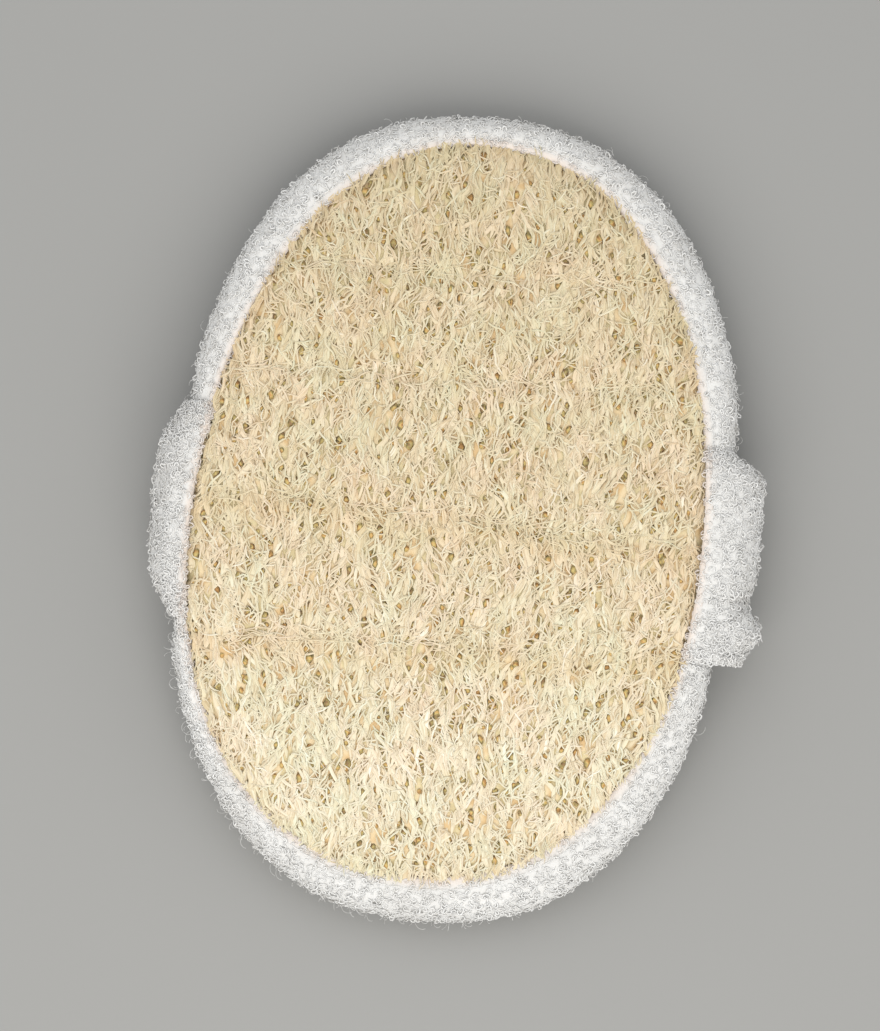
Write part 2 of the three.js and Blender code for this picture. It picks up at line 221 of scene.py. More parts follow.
def soft_noise(x, y, size_x, size_y, seed):
    """Smooth random waves from -1 to 1, with bumps of the given sizes."""
    cells = 128
    grid = np.random.default_rng(seed).uniform(-1, 1, (cells, cells))
    u, v = x / size_x, y / size_y
    i, j = np.floor(u).astype(int), np.floor(v).astype(int)
    fu, fv = smoothstep(u - i, 0, 1), smoothstep(v - j, 0, 1)

    def along_row(j):
        return grid[i % cells, j % cells] * (1 - fu) + grid[(i + 1) % cells, j % cells] * fu
    return along_row(j) * (1 - fv) + along_row(j + 1) * fv


def from_crease(x, y, place, slant):
    """How far a place is from a crease's wavering line, along the pad."""
    return y - place - slant * x - CREASE_WAVER * soft_noise(x, 0 * x, 9, 9, 5)


def crown_height(x, y):
    """The height of the loofah's face, creased across where it was folded."""
    share = np.minimum(seam_share(x, y), 1)
    shoulder = (1 - share ** SHOULDER_REACH) ** SHOULDER_STEEPNESS
    shoulder = SHOULDER_AT_SEAM + (1 - SHOULDER_AT_SEAM) * shoulder
    lift = LOOFAH_CROWN + 0.3 * soft_noise(x, y, 17, 21, 3)
    for place, slant in CREASES:
        lift = lift - CREASE_DEPTH * bell(from_crease(x, y, place, slant), CREASE_WIDTH)
    return FLANGE_TOP + shoulder * lift


# Meshes


def new_piece(name, points, faces, finish, slot, smooth=True, **values):
    """A piece of the pad: points in mm, faces as arrays of corners, and values or vectors
    per point."""
    mesh = bpy.data.meshes.new(name)
    corners = np.concatenate([np.ravel(f) for f in faces])
    sizes = np.concatenate([np.full(len(f), f.shape[1]) for f in faces])
    starts = np.concatenate([[0], np.cumsum(sizes)[:-1]])
    places = (points + [*PAD_CENTRE, 0]) * MM
    mesh.vertices.add(len(points))
    mesh.vertices.foreach_set("co", np.ravel(places).astype(np.float32))
    mesh.loops.add(len(corners))
    mesh.loops.foreach_set("vertex_index", corners.astype(np.int32))
    mesh.polygons.add(len(sizes))
    mesh.polygons.foreach_set("loop_start", starts.astype(np.int32))
    mesh.polygons.foreach_set("use_smooth", np.full(len(sizes), smooth))
    mesh.update(calc_edges=True)
    for value_name, value in values.items():
        kind, field = ("FLOAT", "value") if np.ndim(value) == 1 else ("FLOAT_VECTOR", "vector")
        attribute = mesh.attributes.new(value_name, kind, "POINT")
        attribute.data.foreach_set(field, np.ravel(value).astype(np.float32))
    mesh.materials.append(finish)
    piece = bpy.data.objects.new(name, mesh)
    bpy.context.scene.collection.objects.link(piece)
    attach(piece, "root")
    return piece


def grid_faces(rows, columns, closed_rows=False):
    """The four-cornered faces over a grid of points, numbered row by row. Each row closes
    on itself."""
    i = np.arange(rows if closed_rows else rows - 1)
    i, j = [a.ravel() for a in np.meshgrid(i, np.arange(columns), indexing="ij")]
    k, m = (i + 1) % rows, (j + 1) % columns
    return np.stack([i * columns + j, k * columns + j, k * columns + m, i * columns + m], -1)


def grid_normals(points, closed_rows=False):
    """Unit normals over a grid of points."""
    if closed_rows:
        along = np.roll(points, -1, 0) - np.roll(points, 1, 0)
    else:
        along = np.gradient(points, axis=0)
    return unit(np.cross(along, np.gradient(points, axis=1)))


def closed_rings(rings, low_middle, top_middle):
    """A closed body from rings of points, anticlockwise and from below to above, and the
    points that close it at both ends."""
    count, around = len(rings), len(rings[0])
    walls = grid_faces(count, around)[:, ::-1]
    i = np.arange(around)
    k = (i + 1) % around
    low_fan = np.stack([k, i, np.full(around, count * around)], -1)
    last = (count - 1) * around
    top_fan = np.stack([last + i, last + k, np.full(around, count * around + 1)], -1)
    points = np.concatenate([*rings, [low_middle, top_middle]])
    return points, [walls, low_fan, top_fan]


def strand_mesh(paths, ups, widths, flatness):
    """Three-sided strands along paths, each with its own width, closed at both ends.

    paths is strands by points by 3. widths is strands by points. A strand has its flat
    side down and its ridge towards up.
    """
    count, steps = paths.shape[:2]
    along = unit(np.gradient(paths, axis=1))
    side = unit(np.cross(along, ups))
    rise = np.cross(side, along)
    half = widths[..., None] / 2
    left = paths - side * half
    right = paths + side * half
    ridge = paths + rise * widths[..., None] * flatness
    points = np.stack([left, right, ridge], 2).reshape(-1, 3)
    first = (np.arange(count) * steps * 3)[:, None, None]
    ring = (np.arange(steps - 1) * 3)[None, :, None]
    corner = np.arange(3)[None, None, :]
    a = first + ring + corner
    b = first + ring + (corner + 1) % 3
    walls = np.stack([a, a + 3, b + 3, b], -1).reshape(-1, 4)
    start = np.arange(count)[:, None] * steps * 3
    last = start + (steps - 1) * 3
    caps = np.concatenate([start + [0, 1, 2], last + [2, 1, 0]])
    return points, [walls, caps]


def strand_grain(paths, widths):
    """For each point of strand_mesh: how far across and along its strand it lies, in mm,
    and a value of that strand's own."""
    steps = np.linalg.norm(np.diff(paths, axis=1, prepend=paths[:, :1]), axis=-1)
    across = widths[..., None] * np.array([-0.5, 0.5, 0])
    along = np.cumsum(steps, 1)[..., None] + 0 * across
    own = 7.3 * (np.arange(len(paths)) % 97)[:, None, None] + 0 * across
    return np.stack([across, along, own], -1).reshape(-1, 3)


# Finishes


def linear(hex_colour):
    """An sRGB hex colour as the linear values that shaders take."""
    channels = [int(hex_colour[i:i + 2], 16) / 255 for i in (1, 3, 5)]
    bent = [c / 12.92 if c <= 0.04045 else ((c + 0.055) / 1.055) ** 2.4 for c in channels]
    return (*bent, 1)


def set_inputs(node, **inputs):
    """Gives a shader node's inputs their values or their links."""
    for name, value in inputs.items():
        socket = node.inputs[name.replace("_", " ")]
        if isinstance(value, bpy.types.NodeSocket):
            node.id_data.links.new(value, socket)
        else:
            socket.default_value = value


def add_node(tree, kind, settings=(), **inputs):
    """A shader node with its settings, and its inputs as values or links."""
    node = tree.nodes.new(kind)
    for name, value in dict(settings).items():
        setattr(node, name, value)
    set_inputs(node, **inputs)
    return node


def colour_steps(node, steps):
    """Sets a Color Ramp's stops from pairs of place and hex colour."""
    stops = node.color_ramp.elements
    while len(stops) > 1:
        stops.remove(stops[0])
    stops[0].position, stops[0].color = steps[0][0], linear(steps[0][1])
    for place, colour in steps[1:]:
        stops.new(place).color = linear(colour)
    return node.outputs["Color"]


def new_finish(name):
    material = bpy.data.materials.new(name)
    material.use_nodes = True
    tree = material.node_tree
    return material, tree, tree.nodes["Principled BSDF"]


def loofah_fibre():
    """Dried loofah fibre: pale straw strands pressed flat, each a little different in
    tone, matte with a dull gleam along the fibre."""
    material, tree, shader = new_finish("dried loofah fibre")
    place = add_node(tree, "ShaderNodeTexCoord").outputs["Object"]
    tint, depth, grain = [
        add_node(tree, "ShaderNodeAttribute", {"attribute_name": name})
        for name in ("tint", "depth", "grain")
    ]
    pale = add_node(tree, "ShaderNodeValToRGB", Fac=tint.outputs["Fac"])
    colour = colour_steps(pale, [
        (0, "#cfc2aa"), (0.3, "#d7cfb9"), (0.5, "#dbd6c3"), (0.68, "#ded4c2"),
        (0.85, "#dadac9"), (1, "#e8e6dc"),
    ])
    # A bundle is many fine fibres grown together: lines 0.25 mm apart along each strand,
    # which is coarser than they are, so that they show.
    # Where these lines are low the colour is darker: painted shade between the fine fibres.
    stretched = add_node(
        tree, "ShaderNodeMapping", Vector=grain.outputs["Vector"], Scale=(1 / 0.25, 1 / 5, 1)
    )
    streaks = add_node(
        tree, "ShaderNodeTexNoise", Vector=stretched.outputs["Vector"], Scale=1.0, Detail=2.0
    )
    # Patches about 9 mm wide, some a little pink and some a little green.
    patches = add_node(tree, "ShaderNodeTexNoise", Vector=place, Scale=1 / 0.009, Detail=2.0)
    # The face is a little darker towards +Y, over about 120 mm.
    along = add_node(tree, "ShaderNodeSeparateXYZ", Vector=place).outputs["Y"]
    y_share = add_node(tree, "ShaderNodeMapRange", Value=along, From_Min=-0.06, From_Max=0.06)
    # Deep fibres take a more golden colour, and the streaks are darker between fine fibres: both
    # painted shade. The other two tone what they lie over.
    layers = [
        (tint.outputs["Fac"], [(0, "#cdb892"), (0.5, "#d4c29f"), (1, "#d6c7aa")],
         "MIX", depth.outputs["Fac"]),
        (streaks.outputs["Fac"], [(0.34, "#cbb79c"), (0.52, "#ffffff")], "MULTIPLY", 0.5),
        (patches.outputs["Fac"], [(0.36, "#fffaf5"), (0.64, "#fafcf5")], "MULTIPLY", 1),
        (y_share.outputs["Result"], [(0, "#ffffff"), (0.5, "#faf4ed"), (1, "#f8f1e6")],
         "MULTIPLY", 1),
    ]
    for source, steps, blend, factor in layers:
        ramp = add_node(tree, "ShaderNodeValToRGB", Fac=source)
        mix = add_node(
            tree, "ShaderNodeMix", {"data_type": "RGBA", "blend_type": blend}, Factor=factor
        )
        tree.links.new(colour, mix.inputs[6])
        tree.links.new(colour_steps(ramp, steps), mix.inputs[7])
        colour = mix.outputs[2]
    bump = add_node(
        tree, "ShaderNodeBump", Height=streaks.outputs["Fac"], Strength=0.55, Distance=0.00015
    )
    set_inputs(shader, Base_Color=colour, Normal=bump.outputs["Normal"], Roughness=0.7,
               IOR=1.53, Specular_IOR_Level=0.25)
    return material


def loofah_depths(name, patch, colours):
    """The net inside the loofah, in the shade of the fibres on its face. patch is the
    width in metres of its patches of colour, from amber to olive."""
    material, tree, shader = new_finish(name)
    place = add_node(tree, "ShaderNodeTexCoord").outputs["Object"]
    patches = add_node(tree, "ShaderNodeTexNoise", Vector=place, Scale=1 / patch, Detail=1.0)
    colour = add_node(tree, "ShaderNodeValToRGB", Fac=patches.outputs["Fac"])
    patch_colour = colour_steps(colour, list(zip((0.34, 0.42, 0.5, 0.58, 0.66), colours)))
    # Strands 0.6 mm wide along the pad.
    stretched = add_node(
        tree, "ShaderNodeMapping", Vector=place, Scale=(1 / 0.0006, 1 / 0.004, 1 / 0.002)
    )
    strands = add_node(
        tree, "ShaderNodeTexNoise", Vector=stretched.outputs["Vector"], Scale=1.0, Detail=2.0
    )
    bump = add_node(
        tree, "ShaderNodeBump", Height=strands.outputs["Fac"], Strength=0.8, Distance=0.0002
    )
    set_inputs(shader, Base_Color=patch_colour, Normal=bump.outputs["Normal"], Roughness=0.75)
    return material


def terry_cotton(name, yarn, colours, glow=0):
    """Bleached cotton terry: soft white yarn, dull, with a faint bloom from its fibres.

    yarn is the size in metres of the bumps that its yarn makes. colours are the hex
    colours of its darker blotches, its body and its paler ones, and glow is how much light
    passes through the yarn.
    """
    material, tree, shader = new_finish(name)
    place = add_node(tree, "ShaderNodeTexCoord").outputs["Object"]
    blotches = add_node(tree, "ShaderNodeTexNoise", Vector=place, Scale=1 / 0.014, Detail=3.0)
    colour = add_node(tree, "ShaderNodeValToRGB", Fac=blotches.outputs["Fac"])
    white = colour_steps(colour, list(zip((0.3, 0.55, 0.75), colours)))
    # Beside the loofah the cotton is faintly cream: painted light bounced from the loofah onto
    # the white pile.
    rubbed = add_node(tree, "ShaderNodeAttribute", {"attribute_name": "rubbed"})
    tone = add_node(tree, "ShaderNodeMix", {"data_type": "RGBA"}, Factor=rubbed.outputs["Fac"])
    tree.links.new(white, tone.inputs[6])
    tone.inputs[7].default_value = linear("#dacdc2")
    # Yarn fibres, drawn coarser than they are so that they show.
    fibres = add_node(tree, "ShaderNodeTexNoise", Vector=place, Scale=1 / yarn, Detail=3.0)
    bump = add_node(
        tree, "ShaderNodeBump", Height=fibres.outputs["Fac"], Strength=0.4, Distance=yarn / 3
    )
    set_inputs(shader, Base_Color=tone.outputs[2], Normal=bump.outputs["Normal"],
               Roughness=0.9, IOR=1.53, Specular_IOR_Level=0.2, Sheen_Weight=0.25,
               Sheen_Roughness=0.5, Subsurface_Weight=glow,
               Subsurface_Radius=(1, 0.95, 0.9), Subsurface_Scale=0.001)
    return material


FIBRE = loofah_fibre()
DEPTHS = loofah_depths(
    "deep loofah net", 0.003, ("#caab7c", "#d1b98f", "#d5c09a", "#cdbd92", "#c1b086"),
)
CELLS = loofah_depths(
    "shaded loofah cells", 0.0012, ("#a67c48", "#c9a162", "#bfa868", "#a5945f", "#8b6e48"),
)
# The ground cloth is a little darker than the loop yarn: painted shade where it lies under and
# between the loops.
CLOTH = terry_cotton("terry ground cloth", 0.0009, ("#cccac6", "#d1cfcb", "#d4d2ce"), glow=0.3)
YARN = terry_cotton("terry loop yarn", 0.0003, ("#dad7d2", "#dedcd8", "#e1dfdb"), glow=0.25)
THREAD = terry_cotton("polyester sewing thread", 0.0002, ("#d6d4d0", "#dad8d5", "#dcdad8"))


# The loofah


def loofah_mat():
    """The loofah's body: the net deep in its face, and its flange under the binding."""
    around, inward = 240, 32
    angle = even_angles(around)
    seam, edge = seam_point(angle), sewn_in_edge(angle)
    rings = []
    for share in np.linspace(0.08, 1, 6):
        rings.append(pad_place(*(edge * share).T, JOINT_GAP))
    rings.append(pad_place(*edge.T, FLANGE_TOP - NET_DEPTH))
    for share in 1 - np.linspace(0, 1, inward, endpoint=False) ** 1.3:
        x, y = (SEAM_CENTRE + (seam - SEAM_CENTRE) * share).T
        relief = 0.12 * soft_noise(x, y, 1.6, 4.5, 11) - NET_DEPTH
        relief = relief - SEAM_TUCK * smoothstep(share, 0.95, 1)
        rings.append(pad_place(x, y, crown_height(x, y) + relief))
    middle_height = crown_height(*SEAM_CENTRE[:, None])[0] - NET_DEPTH
    middles = pad_place(0, 0, JOINT_GAP), pad_place(*SEAM_CENTRE, middle_height)
    points, faces = closed_rings(rings, *middles)
    piece = new_piece("loofah_mat", points, faces, DEPTHS, "loofah")
    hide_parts("loofah_face")


def scatter_on_face(rng, count, reach):
    """Random places on the face, out to a share of the way to the seam."""
    x = rng.uniform(-1, 1, 3 * count) * (SEAM_HALF_WIDTH + 3)
    y = rng.uniform(-1, 1, 3 * count) * (SEAM_HALF_LENGTH + 3)
    inside = seam_share(x, y) < reach
    return x[inside][:count], y[inside][:count]


def uneven_grid(rng, half_x, half_y, pitch_x, pitch_y, stray):
    """Places in rows over the pad, each off its own place by up to a share of the pitch."""
    x, y = np.meshgrid(np.arange(-half_x, half_x, pitch_x), np.arange(-half_y, half_y, pitch_y))
    x = x + rng.uniform(-stray, stray, x.shape) * pitch_x
    y = y + rng.uniform(-stray, stray, y.shape) * pitch_y
    return x.ravel(), y.ravel()


def fibre_heading(x, y):
    """The direction, in degrees, that the net's fibres take: along the pad, with swirls."""
    return 90 + 12 * soft_noise(x, y, 8, 16, 21) + 20 * soft_noise(x, y, 4.5, 5.5, 22)


def net_gaps():
    """The net's lens-shaped gaps: each one's X, Y, half width, half length and direction."""
    rng = np.random.default_rng(141)
    x, y = uneven_grid(rng, 54, 78, GAP_PITCH_ACROSS, GAP_PITCH_ALONG, 0.48)
    shown = (seam_share(x, y) < 0.98) & (rng.uniform(0, 1, len(x)) < 0.85)
    x, y = x[shown], y[shown]
    size = rng.uniform(0, 1, len(x)) ** 1.4
    half_width = GAP_NARROWEST + (GAP_WIDEST - GAP_NARROWEST) * size
    half_length = half_width * rng.uniform(1.2, 2.3, len(x))
    heading = np.radians(fibre_heading(x, y) + rng.normal(0, 20, len(x)))
    return x, y, half_width, half_length, heading


GAPS = net_gaps()


def in_gap_frame(px, py):
    """Places as seen from the gap nearest to each: along it, across it, and its number."""
    gap_x, gap_y, _, _, heading = GAPS
    x, y = np.ravel(px), np.ravel(py)
    nearest = []
    batch = 4000  # places at a time, to spare memory
    for start in range(0, len(x), batch):
        part = slice(start, start + batch)
        away = (x[part, None] - gap_x) ** 2 + (y[part, None] - gap_y) ** 2
        nearest.append(away.argmin(1))
    gap = np.concatenate(nearest).reshape(np.shape(px))
    return *turned(px - gap_x[gap], py - gap_y[gap], -heading[gap]), gap


def gap_width(along, gap, beside):
    """Half the width of a lens-shaped gap, made wider by a distance, at places along it."""
    _, _, half_width, half_length, _ = GAPS
    lens = 1 - (along / (half_length[gap] + beside)) ** 2
    return (half_width[gap] + beside) * np.clip(lens, 0, 1)


def round_gaps(px, py, beside):
    """Leads paths round the gaps that they meet, a distance beside them."""
    along, across, gap = in_gap_frame(px, py)
    side = np.where(across < 0, -1, 1)
    across = side * np.hypot(across, gap_width(along, gap, beside))
    gap_x, gap_y, _, _, heading = GAPS
    dx, dy = turned(along, across, heading[gap])
    return gap_x[gap] + dx, gap_y[gap] + dy


def covers_gap(px, py):
    """True for each path that runs over the middle of a gap."""
    along, across, gap = in_gap_frame(px, py)
    return (np.abs(across) < 0.8 * gap_width(along, gap, 0.1)).any(1)


def gap_cells():
    """The dark cells under the net's gaps, each a shallow bowl."""
    hollow, thickness = 0.1, 0.3
    x, y, half_width, half_length, heading = GAPS
    turn = np.arange(CELL_CORNERS) / CELL_CORNERS * 2 * np.pi
    along = (half_length + CELL_MARGIN)[:, None] * np.cos(turn)
    across = (half_width + CELL_MARGIN)[:, None] * np.sin(turn)
    dx, dy = turned(along, across, heading[:, None])
    level = crown_height(x, y) - GAP_DEPTH
    rim = pad_place(x[:, None] + dx, y[:, None] + dy, level[:, None])
    top, low = pad_place(x, y, level - hollow), pad_place(x, y, level - thickness)
    points = np.concatenate([rim, top[:, None], low[:, None]], 1).reshape(-1, 3)
    first = (np.arange(len(x)) * (CELL_CORNERS + 2))[:, None]
    i = np.arange(CELL_CORNERS)[None, :]
    k = (i + 1) % CELL_CORNERS
    middle = first + CELL_CORNERS + 0 * i
    bowls = np.stack([first + i, first + k, middle], -1).reshape(-1, 3)
    floors = np.stack([first + k, first + i, middle + 1], -1).reshape(-1, 3)
    new_piece("loofah_gap_cells", points, [bowls, floors], CELLS, "loofah")


def strand_paths(rng, x, y, steps, length, heading, swing):
    """Wandering paths on the face: X and Y, strands by points, and how far along each
    point is. heading is each strand's own direction and swing how far it turns about
    that, in degrees."""
    count = len(x)
    lengths = rng.uniform(*length, count)
    run = np.linspace(-0.5, 0.5, steps)[None, :] * lengths[:, None]
    way = np.radians(heading)[:, None] + np.zeros((count, steps))
    for wave_low, wave_high, share in [(3.5, 6, 0.4), (7, 13, 0.8)]:
        wave = rng.uniform(wave_low, wave_high, count)[:, None]
        start = rng.uniform(0, 2 * np.pi, count)[:, None]
        size = np.radians(swing) * share * rng.uniform(0.5, 1.4, count)[:, None]
        way = way + size * np.sin(2 * np.pi * run / wave + start)
    step = lengths[:, None] / (steps - 1)
    px = np.cumsum(np.cos(way) * step, 1)
    py = np.cumsum(np.sin(way) * step, 1)
    px = x[:, None] + px - px.mean(1, keepdims=True)
    py = y[:, None] + py - py.mean(1, keepdims=True)
    return px, py, run


def tucked(px, py):
    """Draws back what runs too far in under the binding."""
    back = np.minimum(1, TUCKED_REACH / np.maximum(seam_share(px, py), 1e-6))
    x, y = SEAM_CENTRE
    return x + (px - x) * back, y + (py - y) * back


def laid_fibres(name, rng, px, py, run, width, depth, flatness, lift=0, pointed=6):
    """Fibres laid along paths on the face, or at a lift over the flange where that is
    higher. width and depth are ranges in mm. pointed is 2 for a fibre that narrows all
    along and more for one with blunt ends."""
    count, steps = px.shape
    level = rng.uniform(*depth, count)[:, None]
    weave = 0.05 * np.sin(2 * np.pi * run / rng.uniform(4, 8, count)[:, None]
                          + rng.uniform(0, 2 * np.pi, count)[:, None])
    ends = np.abs(np.linspace(-1, 1, steps))[None, :] ** pointed
    heights = np.maximum(crown_height(px, py), FLANGE_TOP + lift)
    paths = pad_place(px, py, heights - level + weave - 0.2 * ends)
    widths = rng.uniform(*width, count)[:, None] * (1 - 0.8 * ends)
    widths = widths * (1 + 0.2 * np.sin(run / 1.7 + 9 * level))
    ups = np.zeros_like(paths)
    ups[..., 2] = 1
    points, faces = strand_mesh(paths, ups, widths, flatness)
    tint = np.repeat(np.clip(rng.normal(0.5, 0.22, count), 0, 1), steps * 3)
    # Painted shade: deeper fibres, those pressed into the hollow at the seam, and a band beside
    # the shaded creases are made more golden.
    depth_shade = level / FULL_SHADE_DEPTH + 0.25 * smoothstep(seam_share(px, py), 0.94, 1)
    for place, slant in SHADED_CREASES:
        away = from_crease(px, py, place + SHADED_BAND_OFFSET, slant)
        depth_shade = depth_shade + 0.35 * bell(away, SHADED_BAND_WIDTH)
    deep = np.repeat(np.clip(depth_shade, 0, 1).ravel(), 3)
    grain = strand_grain(paths, widths)
    new_piece(
        name, points, faces, FIBRE, "loofah", smooth=False, tint=tint, depth=deep, grain=grain
    )


def fibre_strands(name, seed, count, steps, length, width, lean, swing, depth, flatness,
                  pointed=6, opened=False):
    """A family of the net's strands, which wander along the pad's length. lean is how far
    a strand's own direction strays from the net's, in degrees. opened leaves out those
    that would cover a gap."""
    rng = np.random.default_rng(seed)
    x, y = scatter_on_face(rng, count, 1.04)
    heading = fibre_heading(x, y) + lean * rng.normal(0, 1, count)
    px, py, run = strand_paths(rng, x, y, steps, length, heading, swing)
    if opened:
        clear = ~covers_gap(px, py)
        px, py, run = px[clear], py[clear], run[clear]
    px, py = round_gaps(px, py, 0.35 * sum(width) / 2)
    px, py = tucked(px, py)
    laid_fibres(name, rng, px, py, run, width, depth, flatness, pointed=pointed)


def crease_fibres():
    """Fine fibres pressed flat along the creases."""
    rng = np.random.default_rng(111)
    xs, ys = [], []
    for place, slant in CREASES:
        x = rng.uniform(-50, 50, 66)
        xs.append(x)
        ys.append(place + slant * x + rng.normal(0, 0.9, len(x)))
    x, y = np.concatenate(xs), np.concatenate(ys)
    inside = seam_share(x, y) < 0.97
    x, y = x[inside], y[inside]
    heading = 13 * rng.normal(0, 1, len(x))
    px, py, run = strand_paths(rng, x, y, 8, (3, 8), heading, 22)
    px, py = tucked(*round_gaps(px, py, 0.1))
    laid_fibres("loofah_crease_fibres", rng, px, py, run, (0.2, 0.36), (-0.12, 0.1), 0.4)


def stray_fibres():
    """Fibre ends that poke out over the binding's sewn edge."""
    rng = np.random.default_rng(112)
    count = 80
    angle = rng.uniform(0, 2 * np.pi, count)
    x, y = seam_point(angle).T
    heading = 90 + 22 * rng.normal(0, 1, count)
    along = np.abs(np.sin(angle)) > 0.35
    x, y, heading = x[along], y[along], heading[along]
    px, py, run = strand_paths(rng, x, y, 7, (3, 6), heading, 25)
    lift = (BINDING_TOP - FLANGE_TOP) * smoothstep(seam_share(px, py), 0.985, 1.03)
    laid_fibres("loofah_stray_fibres", rng, px, py, run, (0.16, 0.28), (-0.25, 0.0), 0.6, lift)


def loofah_fibres():
    """The fibres of the face, from broad fused bundles to fine ones that cross on top."""
    fibre_strands("loofah_deep_bundles", seed=101, count=1000, steps=7, length=(6, 11),
                  width=(0.9, 1.4), lean=14, swing=16, depth=(0.2, 0.3), flatness=0.05,
                  opened=True)
    fibre_strands("loofah_flat_bundles", seed=105, count=3400, steps=5, length=(3, 7),
                  width=(0.4, 0.8), lean=20, swing=22, depth=(0.08, 0.2), flatness=0.12,
                  pointed=4, opened=True)
    fibre_strands("loofah_long_strands", seed=102, count=1900, steps=8, length=(4, 9),
                  width=(0.28, 0.44), lean=22, swing=34, depth=(0, 0.12), flatness=0.3)
    fibre_strands("loofah_fine_strands", seed=103, count=7300, steps=5, length=(2, 4.5),
                  width=(0.25, 0.38), lean=30, swing=46, depth=(-0.06, 0.06), flatness=0.38)
    crease_fibres()
    stray_fibres()


# The terry cloth


def beside_seam(points, reach):
    """1 on the face beside the loofah, and 0 past a reach, over which it fades."""
    x, y, z = points.T
    on_face = z > MIDDLE_HEIGHT - sag(x, y)
    return on_face * (1 - smoothstep(seam_share(x, y), *reach))


def lip_rise(share):
    """How far the binding has risen from its sewn edge, at a share of the lip."""
    return np.sin(np.pi / 2 * np.clip(share, 0, 1))


def binding_grid(stations, over):
    """The binding's ground cloth: a grid of stations round the pad by points over its
    roll, from the seam on the face to the seam on the back, in mm, evenly spaced."""
    angle = even_angles(stations)[::-1]
    seam, outer = seam_point(angle), outer_point(angle)
    width = np.linalg.norm(outer - seam, axis=-1)
    outward = unit(outer - seam)
    top, bottom = BINDING_TOP - PILE_HEIGHT, BINDING_BOTTOM + PILE_HEIGHT
    middle, half = (top + bottom) / 2, (top - bottom) / 2
    roll = superellipse(np.linspace(0.5, -0.5, 60) * np.pi, 1, half, 2.1)
    start = LIP_SHARE * width
    roll_out = start[:, None] + (width - PILE_HEIGHT - start)[:, None] * roll[None, :, 0]
    # From the seam to where the roll begins, the cloth rises out of the sewn lip.
    lip = np.linspace(0, 1, 24, endpoint=False)
    lip_out = start[:, None] * lip[None, :]
    face_lip, back_lip = FLANGE_TOP + LIP_HEIGHT, -JOINT_GAP - BACK_THICKNESS - 0.5
    out = np.concatenate([lip_out, roll_out, lip_out[:, ::-1]], 1)
    height = np.concatenate([
        face_lip + (top - face_lip) * lip_rise(lip),
        middle + roll[:, 1],
        (back_lip + (bottom - back_lip) * lip_rise(lip))[::-1],
    ])
    # The stitching draws the cloth in.
    height = height[None, :] - SEWN_DEPTH * bell(out - SEWN_INSET, SEWN_WIDTH)
    flat = seam[:, None, :] + outward[:, None, :] * out[..., None]
    fine = pad_place(flat[..., 0], flat[..., 1], height)
    run = np.concatenate([[0], np.cumsum(step_lengths(fine, 1).mean(0))])
    place = np.interp(np.linspace(0, run[-1], over), run, np.arange(len(run)))
    first = np.minimum(place.astype(int), len(run) - 2)
    share = (place - first)[None, :, None]
    return fine[:, first] * (1 - share) + fine[:, first + 1] * share


def add_puckers(points, amount, seed):
    """Draws a grid of cloth in and out in soft lumps, as where it is gathered by sewing."""
    x, y, z = np.moveaxis(points, -1, 0)
    lumps = soft_noise(x + 0.5 * z, y + z, 6, 6, seed)
    lumps = lumps + 0.5 * soft_noise(x - z, y, 2.6, 2.6, seed + 1)
    return points + grid_normals(points, closed_rows=True) * amount * lumps[..., None]


def edge_binding():
    """The folded strip round the pad's edge. Returns its outside grid for the pile."""
    outside = add_puckers(binding_grid(stations=300, over=22), amount=0.22, seed=31)
    inside = outside - grid_normals(outside, closed_rows=True) * GROUND_THICKNESS
    section = np.concatenate([outside, inside[:, ::-1]], 1)
    faces = grid_faces(*section.shape[:2], closed_rows=True)
    points = section.reshape(-1, 3)
    # A cream tint beside the loofah: painted light bounced from it.
    rubbed = beside_seam(points, LOOFAH_BOUNCE_REACH)
    cloth = new_piece("binding_cloth", points, [faces], CLOTH, "terry", rubbed=rubbed)
    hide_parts("edge_binding")
    return cloth, outside


def terry_back():
    """The oval of terry behind the loofah."""
    edge = sewn_in_edge(even_angles(160))
    shares = np.linspace(0, 1, 21)[1:]
    top, low = -JOINT_GAP, -JOINT_GAP - BACK_THICKNESS + PILE_HEIGHT
    rings = []
    for share in shares:
        x, y = (edge * share).T
        rings.append(pad_place(x, y, low + 0.15 * soft_noise(x, y, 7, 7, 61)))
    for share in shares[::-2]:
        rings.append(pad_place(*(edge * share).T, top))
    points, faces = closed_rings(rings, pad_place(0, 0, low), pad_place(0, 0, top))
    cloth = new_piece("back_cloth", points, faces, CLOTH, "terry")
    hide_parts("terry_back")
    return cloth


def strap_bulge(side, y):
    """How far the strap stands out past the binding. Each of its bumps has a height, a Y
    and a reach. The right side is pinched in and flares at its corner."""
    half = STRAP_WIDTH / 2
    if side > 0:
        bulge = 5.2
        bumps = [(-5.7, STRAP_CENTRE_Y + half, 2.9), (-0.7, -12, 3), (2.8, -18, 3.4)]
    else:
        bulge = 4.5
        bumps = [(-3.6, STRAP_CENTRE_Y + half, 6), (-3.6, STRAP_CENTRE_Y - half, 5)]
    for height, place, reach in bumps:
        bulge = bulge + height * bell(y - place, reach)
    return bulge


def outline_x(side, y):
    share = 1 - np.abs(y / PAD_HALF_LENGTH) ** PAD_ROUNDNESS
    return side * PAD_HALF_WIDTH * share ** (1 / PAD_ROUNDNESS)


def seam_x(side, y):
    """The seam's X on one side, found by halving."""
    inside, outside = 0 * y, 0 * y + side * PAD_HALF_WIDTH
    for _ in range(30):
        middle = (inside + outside) / 2
        within = seam_share(middle, y) < 1
        inside, outside = np.where(within, middle, inside), np.where(within, outside, middle)
    return inside


def curve_through(a, b, c, d, steps):
    """A cubic curve's points and directions. a to d are its end, handles and end."""
    t = np.linspace(0, 1, steps)[:, None, None]
    point = (1 - t) ** 3 * a + 3 * (1 - t) ** 2 * t * b + 3 * (1 - t) * t ** 2 * c + t ** 3 * d
    slope = (1 - t) ** 2 * (b - a) + 2 * (1 - t) * t * (c - b) + t ** 2 * (d - c)
    return point, unit(slope)


